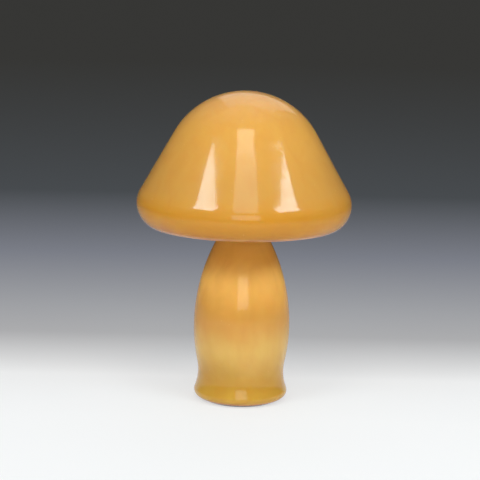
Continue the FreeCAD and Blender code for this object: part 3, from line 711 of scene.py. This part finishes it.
def bulb_globe():
    """Thin pearl glass: globe, neck and the drawn foot inside the cap."""
    low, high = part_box("bulb_envelope")
    centre = (0.0, high.z - bulb_radius)
    join = math.sqrt((bulb_radius + bulb_neck_curve) ** 2 - (bulb_neck_radius + bulb_neck_curve) ** 2)
    neck = (bulb_neck_radius + bulb_neck_curve, centre[1] - join)
    to_neck = direction(centre, neck)

    def skin(inset):
        globe = arc(centre, bulb_radius - inset, 90, to_neck, step=3)
        throat = arc(neck, bulb_neck_curve + inset, to_neck + 180, 180, step=5)
        return globe + throat[1:] + [(bulb_neck_radius - inset, low.z)]

    bulb = turned("bulb_globe", skin(0) + list(reversed(skin(bulb_wall))), steps=96, closed=False)
    give(bulb, finishes["pearl_glass"])
    return stands_for(bulb, "bulb", "bulb_envelope")


def bulb_cap():
    """The bulb's aluminium cap, with its rolled thread, flared mouth and inturned foot."""
    low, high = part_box("bulb_screw_cap")
    thread_low, thread_high = low.z + cap_thread_start, high.z - cap_thread_end
    foot = [
        (cap_foot_radius, low.z), (cap_foot_radius + 0.9 * MM, low.z + 0.5 * MM),
        (thread_root - 0.1 * MM, low.z + 1.2 * MM),
    ]
    start, end = (thread_root, thread_low), (thread_root, thread_high)
    wall = [start] + run(start, end, thread_step) + [end]
    mouth = [(thread_root + 0.3 * MM, high.z - 1.1 * MM), (high.x - 0.15 * MM, high.z - 0.35 * MM)]
    edge = [
        (high.x, high.z - 0.1 * MM), (high.x - 0.15 * MM, high.z), (high.x - rolled_sheet, high.z - 0.1 * MM),
    ]
    outside = foot + wall + mouth
    inside = [(place[0] - rolled_sheet, place[1] + 0.1 * MM) for place in reversed(outside[:-1])]
    cap = turned("bulb_cap", outside + edge + inside, steps=112)

    def rolled(reach, angle, z):
        on_wall = reach > thread_root - rolled_sheet - hair
        threaded = on_wall and thread_low < z < thread_high + 0.3 * MM
        return reach + (thread_depth * thread_share(z, thread_low, thread_high, angle) if threaded else 0)

    pressed(cap, rolled)
    give(cap, finishes["cap_aluminium"])
    return stands_for(cap, "bulb", "bulb_screw_cap")


def holder_thread():
    """The brass screw shell of the holder, rolled to take the bulb's thread, with its inturned floor."""
    low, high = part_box("screw_shell")
    bore = thread_root + thread_depth + thread_gap
    thread_low, thread_high = low.z + shell_thread_start, high.z - shell_thread_end
    start, end = (bore, thread_low), (bore, thread_high)
    wall = [start] + run(start, end, thread_step) + [end]
    inside = [(shell_floor_hole, low.z + 0.4 * MM), (bore - 0.6 * MM, low.z + 0.4 * MM)] + wall
    inside += [(bore + 0.05 * MM, high.z)]
    outside = [(bore + rolled_sheet, high.z)] + [(r + rolled_sheet, z) for r, z in reversed(wall)]
    outside += [(bore + rolled_sheet, low.z + 0.5 * MM), (bore - 0.2 * MM, low.z), (shell_floor_hole, low.z)]
    shell = turned("holder_thread", inside + outside, steps=112)

    def rolled(reach, angle, z):
        threaded = reach > bore - hair and thread_low - hair < z < thread_high + hair
        crest = thread_share(z, thread_low, thread_high, angle)
        drawn_in = thread_depth * (thread_height(z, thread_low, thread_high) - crest)
        return reach - (drawn_in if threaded else 0)

    pressed(shell, rolled)
    give(shell, finishes["contact_brass"])
    return stands_for(shell, "base", "screw_shell")


# Knob, rubber and felt

def knob():
    """The pressed knob: a skirt, a fluted grip and a softly crowned face."""
    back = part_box("switch_knob")[1].y
    axis_height = (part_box("switch_knob")[0].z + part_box("switch_knob")[1].z) / 2
    outline = [(0.0, knob_length - knob_bore_depth), (knob_bore, knob_length - knob_bore_depth)]
    outline += [
        (knob_bore, 0.0), (knob_radius - 0.3 * MM, 0.0), (knob_radius, 0.3 * MM),
        (knob_radius, knob_skirt - 0.5 * MM), (knob_radius - 0.15 * MM, knob_skirt - 0.1 * MM),
        (grip_radius + 0.25 * MM, knob_skirt + 0.4 * MM), (grip_radius, knob_skirt + 1.0 * MM),
    ]
    outline += run(outline[-1], (grip_radius - 0.3 * MM, knob_length - 1.4 * MM), 0.8 * MM)
    outline += arc((grip_radius - 1.5 * MM, knob_length - 1.5 * MM), 1.2 * MM, 0, 70, step=14)
    outline += [(3.4 * MM, knob_length - 0.12 * MM), (2.0 * MM, knob_length), (0.0, knob_length)]
    grip = turned("knob", outline, steps=flute_count * 12, closed=False)

    def fluted(reach, angle, z):
        rise = min(1.0, max(0.0, (z - knob_skirt - 0.5 * MM) / (0.8 * MM)))
        near_rim = min(1.0, max(0.0, (reach - 4.2 * MM) / (1.4 * MM)))
        hollow = max(0.0, math.cos(flute_count * angle)) ** 1.5
        return reach - flute_depth * rise * near_rim * hollow

    pressed(grip, fluted)
    laid(grip, (0, back, axis_height), (math.radians(90), 0, 0))
    give(grip, finishes["brown_bakelite"])
    return stands_for(grip, "switch", "switch_knob")


def grommet():
    """The rubber grommet in the glass at the back, its outer lip rolled round the bore."""
    low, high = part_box("cord_grommet")
    length = high.y - low.y
    outer_lip = length - grommet_lip
    outline = [(grommet_bore + 0.3 * MM, 0.0), (grommet_flange - 0.6 * MM, 0.0)]
    outline += arc((grommet_flange - 0.7 * MM, 0.7 * MM), 0.7 * MM, -90, 0, step=20)
    outline += [(grommet_flange, 1.6 * MM), (grommet_sleeve, 1.7 * MM)]
    outline += [(grommet_sleeve, outer_lip), (grommet_flange, outer_lip)]
    outline += arc((grommet_flange - 0.9 * MM, length - 0.9 * MM), 0.9 * MM, 0, 90, step=18)
    outline += [(grommet_bore + 1.5 * MM, length)]
    outline += arc((grommet_bore + 0.8 * MM, length - 0.8 * MM), 0.8 * MM, 90, 180, step=18)
    outline += [(grommet_bore, length / 2), (grommet_bore, 0.3 * MM)]
    ring = turned("grommet", outline, steps=72)
    back = waist_radius + grommet_proud
    laid(ring, (0, back - length, (low.z + high.z) / 2), (math.radians(-90), 0, 0))
    give(ring, finishes["black_rubber"])
    return stands_for(ring, "base", "cord_grommet")


def sleeve(number, angle):
    """A moulded rubber sleeve over one finger of the carrier, open where the finger goes in."""
    bpy.ops.object.select_all(action="DESELECT")
    bpy.ops.mesh.primitive_cube_add(size=MM)
    piece = bpy.context.object
    piece.name = "sleeve_%d" % number
    bpy.ops.object.mode_set(mode="EDIT")
    bpy.ops.mesh.select_all(action="SELECT")
    bpy.ops.transform.resize(value=(sleeve_depth / MM, sleeve_width / MM, sleeve_length / MM))
    bpy.ops.mesh.bevel(offset=sleeve_corner, segments=4, affect="EDGES")
    bpy.ops.mesh.select_all(action="DESELECT")
    bpy.ops.object.mode_set(mode="OBJECT")
    for face in piece.data.polygons:
        face.select = face.normal.z < -0.99
    bpy.ops.object.mode_set(mode="EDIT")
    bpy.ops.mesh.inset(thickness=sleeve_mouth_border)
    bpy.ops.mesh.extrude_region_move(TRANSFORM_OT_translate={"value": (0, 0, sleeve_mouth_depth)})
    bpy.ops.object.mode_set(mode="OBJECT")
    smoothed(sleeve_crease_angle)
    tilt = math.radians(flank_tilt)
    flank_start = along(dome_centre, dome_radius - shade_wall, flank_tilt)
    flank_r = flank_start[0] + (flank_start[1] - finger_foot_height) * math.tan(tilt)
    finger_foot = (flank_r - sleeve_stand_off / math.cos(tilt), finger_foot_height)
    middle = along(finger_foot, sleeve_start + sleeve_length / 2, 90 + flank_tilt)
    turn = math.radians(angle)
    laid(piece, (middle[0] * math.cos(turn), middle[0] * math.sin(turn), middle[1]), (0, -tilt, turn))
    give(piece, finishes["clear_rubber"])
    return stands_for(piece, "base", "arm_sleeve_%d" % number)


def gaskets():
    """The rubber rings under the cap of the neck and under the base's washer, with rounded edges."""
    for name, replaced, inner, outer, edge in rubber_rings:
        low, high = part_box(replaced)
        near, far, edge = (inner + edge) * MM, (outer - edge) * MM, edge * MM
        bottom, top = low.z + edge, high.z - edge
        corners = (((far, bottom), -90), ((far, top), 0), ((near, top), 90), ((near, bottom), 180))
        outline = [place for at, start in corners for place in arc(at, edge, start, start + 90, step=30)]
        ring = turned(name, outline, steps=96)
        give(ring, finishes[slot_of[replaced]])
        stands_for(ring, "base", replaced)


def felt_disc():
    """The felt under the foot: punched out, with flat faces and a soft rounded edge."""
    low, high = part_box("felt_pad")
    edge = (high.z - low.z) / 2
    outline = [(0.0, low.z)] + run((0.0, low.z), (high.x - edge, low.z), 4 * MM)
    outline += arc((high.x - edge, low.z + edge), edge, -90, 90, step=22)
    outline += run((high.x - edge, high.z), (0.0, high.z), 8 * MM) + [(0.0, high.z)]
    disc = turned("felt_disc", outline, steps=120, closed=False)
    give(disc, finishes["green_felt"])
    return stands_for(disc, "base", "felt_pad")


# The frame's own nodes

makers = {
    "green_felt": felt, "brown_rubber": brown_rubber, "black_rubber": black_rubber,
    "clear_rubber": clear_rubber, "zinc_steel": zinc_steel, "spun_brass": spun_brass,
    "formed_brass": formed_brass, "brass_fastener": brass_fastener, "contact_brass": contact_brass,
    "liner_board": liner_board, "holder_porcelain": porcelain, "cam_fibre": cam_fibre,
    "brown_bakelite": bakelite, "pearl_glass": pearl_bulb_glass, "cap_aluminium": cap_aluminium,
    "black_glass": black_cap_glass, "solder": solder, "basing_cement": basing_cement,
    "clear_glass": clear_glass, "lead_wire": lead_wire, "tungsten": tungsten,
}


def finish_nodes():
    """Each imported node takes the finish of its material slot."""
    made = {slot: maker(slot) for slot, maker in makers.items()}
    made["shade_amber_glass"] = amber_shade
    made["body_amber_glass"] = amber_body
    for name, piece in frame["nodes"].items():
        give(piece, made[slot_of[name]])
    return made


# Studio

camera_aim = Vector((-3.9, 0, 187.0)) * MM
camera_distance = 1.9
camera_elevation = 11.4
camera_roll = 1.18
camera_lens = 123.0
camera_sensor = 36
camera_centre_height = 180 * MM

# Softboxes: azimuth and elevation in degrees, distance, width and height in metres, watts and colour
softboxes = {
    "key_softbox": (0, 61, 1.7, 0.6, 0.6, 6.2, (1, 0.95, 0.84)),
    "left_softbox": (-47, 38.2, 1.9, 0.72, 0.5, 13.2, (0.76, 0.92, 1)),
    "right_softbox": (52, 36.2, 1.9, 0.78, 0.5, 15.4, (0.76, 0.92, 1)),
    "front_softbox": (2, 11, 2.2, 1.1, 0.8, 7.5, (1, 0.96, 0.92)),
    "dim_window": (2, 40.5, 2.4, 0.95, 0.95, 6.8, (0.74, 0.9, 1)),
    "back_softbox": (172, 46, 2.2, 1.6, 1.6, 5.5, (1, 0.98, 0.96)),
}
softbox_target = Vector((0, 0, 0.2))
room_light = (168, 164, 163)
room_seen = (60, 60, 57)

# The table, white up to its edges and graded beyond them, as (share of the way, screen colour)
table_size = 800
table_half_width = 0.6
table_front = 0.7
table_edge_softness = 0.5
nearest_grading = -0.4
grading_distance = 1.9
grading_start, grading_end = -0.05, 0.95
table_light = (225, 225, 225)
table_glow_share = 0.65
table_grading = [
    (0.0, (244, 244, 244)), (0.09, (240, 240, 240)), (0.18, (178, 178, 180)), (0.35, (127, 130, 140)),
    (0.48, (75, 79, 83)), (0.75, (62, 62, 60)),
]


def photo_camera():
    """The photograph's view: a long lens a little above the lamp, held slightly askew."""
    data = bpy.data.cameras.new("photo_camera")
    data.lens = camera_lens
    data.sensor_width = camera_sensor
    camera = bpy.data.objects.new("photo_camera", data)
    bpy.context.scene.collection.objects.link(camera)
    rise = math.radians(camera_elevation)
    height = camera_centre_height + camera_distance * math.sin(rise)
    camera.location = (0, -camera_distance * math.cos(rise), height)
    look = (camera_aim - camera.location).to_track_quat("-Z", "Y")
    camera.rotation_mode = "QUATERNION"
    camera.rotation_quaternion = look @ Quaternion((0, 0, 1), math.radians(camera_roll))
    bpy.context.scene.camera = camera


def soft_lamp(name, azimuth, elevation, distance, width, height, watts, colour):
    """A softbox that faces the lamp."""
    data = bpy.data.lights.new(name, "AREA")
    data.shape = "RECTANGLE"
    data.size = width
    data.size_y = height
    data.energy = watts
    data.color = colour
    lamp = bpy.data.objects.new(name, data)
    bpy.context.scene.collection.objects.link(lamp)
    side, rise = math.radians(azimuth), math.radians(elevation)
    away = Vector((math.sin(side) * math.cos(rise), -math.cos(side) * math.cos(rise), math.sin(rise)))
    lamp.location = softbox_target + away * distance
    lamp.rotation_mode = "QUATERNION"
    lamp.rotation_quaternion = (-away).to_track_quat("-Z", "Y")


def studio_world():
    """A plain level of light from all round, which looks dark grey in reflections."""
    world = bpy.data.worlds.new("studio")
    bpy.context.scene.world = world
    world.use_nodes = True
    background = world.node_tree.nodes["Background"]
    link(world, mixed(world, seen_share(world), room_light, room_seen), background.inputs["Color"])
    tuned(background, {"Strength": 1.0})


def table_floor():
    """A white table that runs back into dark grey, as a graded paper sweep does."""
    bpy.ops.object.select_all(action="DESELECT")
    bpy.ops.mesh.primitive_plane_add(size=table_size)
    floor = bpy.context.object
    floor.name = "table_floor"
    made, shader = finish("graded_paper", (236, 236, 236), 0.7)
    place = where(made)
    far = part_of(made, place, "Y")
    side = calculated(made, "ABSOLUTE", part_of(made, place, "X"))
    sideways = calculated(made, "SUBTRACT", side, table_half_width)
    forwards = calculated(made, "SUBTRACT", calculated(made, "MULTIPLY", far, -1), table_front)
    for edge in (sideways, forwards):
        far = calculated(made, "SMOOTH_MAX", far, edge, table_edge_softness)
    far = calculated(made, "MAXIMUM", far, nearest_grading)
    reach = calculated(made, "DIVIDE", far, calculated(made, "ADD", far, grading_distance))
    reach = spread(made, reach, 0, 1, grading_start, grading_end)
    seen_tone = colour_stops(made, reach, table_grading, "LINEAR")
    relief(made, shader, cloud(made, place, 0.0012, detail=3), 0.00005)
    seen = seen_share(made)
    link(made, mixed(made, seen, table_light, seen_tone), shader.inputs["Base Color"])
    glow = node(made, "ShaderNodeEmission")
    link(made, seen_tone, glow.inputs["Color"])
    both = node(made, "ShaderNodeMixShader")
    link(made, calculated(made, "MULTIPLY", seen, table_glow_share), both.inputs["Fac"])
    link(made, shader.outputs["BSDF"], both.inputs[1])
    link(made, glow.outputs["Emission"], both.inputs[2])
    link(made, both.outputs["Shader"], made.node_tree.nodes["Material Output"].inputs["Surface"])
    give(floor, made)


photo_camera()
for name, values in softboxes.items():
    soft_lamp(name, *values)
studio_world()
table_floor()
bpy.context.scene.view_settings.view_transform = "Standard"

# The amber's height tones carry painted shade at the shade's rim, painted light at its crown and painted
# light on the body's shoulder.
amber_shade = cased_amber("shade_amber_glass", shade_tones_with_painted_shading, roll_centre_z - rim_roll_radius, shade_height)
amber_body = cased_amber("body_amber_glass", body_tones_with_painted_light, body_foot, neck_top)
opal = opal_lining("opal_lining")
rim_finish = polished_rim("polished_rim")
finishes = finish_nodes()
blown_shade()
blown_body()
bulb_globe()
bulb_cap()
holder_thread()
knob()
grommet()
for number, angle in enumerate(finger_angles, start=1):
    sleeve(number, angle)
gaskets()
felt_disc()
